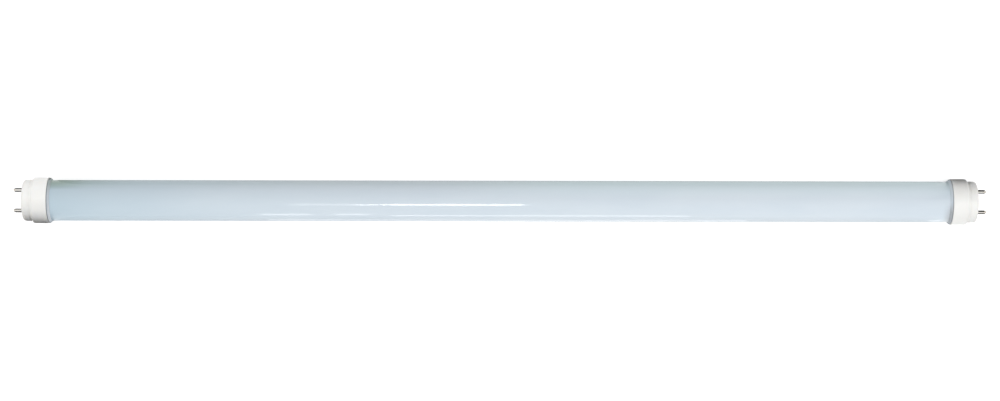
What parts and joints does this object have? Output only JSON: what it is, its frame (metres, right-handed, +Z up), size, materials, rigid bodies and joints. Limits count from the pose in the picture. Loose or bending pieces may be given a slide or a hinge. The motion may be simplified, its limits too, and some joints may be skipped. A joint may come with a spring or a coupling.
{
  "type": "led tube",
  "caption": "Straight frosted glass LED lamp tube with a white moulded two-pin cap and a translucent seal ring at each end, LED strip and driver inside.",
  "frame": {"origin": "middle of the tube's axis, half way between the two cap faces", "axes": "+X along the tube towards the right cap, Y along each pair of pins, +Z up, on the lit side"},
  "size_m": [0.603, 0.0284, 0.0284],
  "materials": {
    "frosted_glass": "glossy outside, white diffusing coat inside",
    "cap_plastic": "satin moulding",
    "seal_silicone": "translucent silicone",
    "pin_metal": "nickel plated",
    "board_metal": "white solder mask",
    "bond_silicone": "cured silicone",
    "chip_package": "yellow window in a white package",
    "sleeve_film": "heat-shrink film",
    "driver_laminate": "green laminate",
    "resistor_coat": "lacquered ceramic",
    "varistor_coat": "dipped epoxy",
    "film_case": "moulded box",
    "ferrite": "ferrite and lacquered wire",
    "can_sleeve": "can in a dark sleeve",
    "chip_resin": "moulded resin",
    "winding_tape": "ferrite core and taped winding",
    "wire_dark": "smooth insulation",
    "wire_light": "smooth insulation",
    "wire_red": "smooth insulation"
  },
  "bodies": {
    "root": {"glass_tube": "frosted_glass", "left_end_cap": "cap_plastic", "right_end_cap": "cap_plastic", "left_seal_ring": "seal_silicone", "right_seal_ring": "seal_silicone", "left_front_pin": "pin_metal", "left_back_pin": "pin_metal", "right_front_pin": "pin_metal", "right_back_pin": "pin_metal", "led_board": "board_metal", "board_bond": "bond_silicone", "led_chips": "chip_package", "driver_sleeve": "sleeve_film", "driver_board": "driver_laminate", "fuse_resistor": "resistor_coat", "varistor": "varistor_coat", "bridge_rectifier": "chip_resin", "film_capacitor": "film_case", "filter_choke": "ferrite", "smoothing_capacitor": "can_sleeve", "controller_chip": "chip_resin", "transformer": "winding_tape", "output_diode": "chip_resin", "output_capacitor": "can_sleeve", "sense_resistors": "chip_resin", "front_supply_wire": "wire_dark", "back_supply_wire": "wire_light", "front_output_wire": "wire_dark", "back_output_wire": "wire_red", "right_pin_link": "wire_light"}
  },
  "joints": []
}
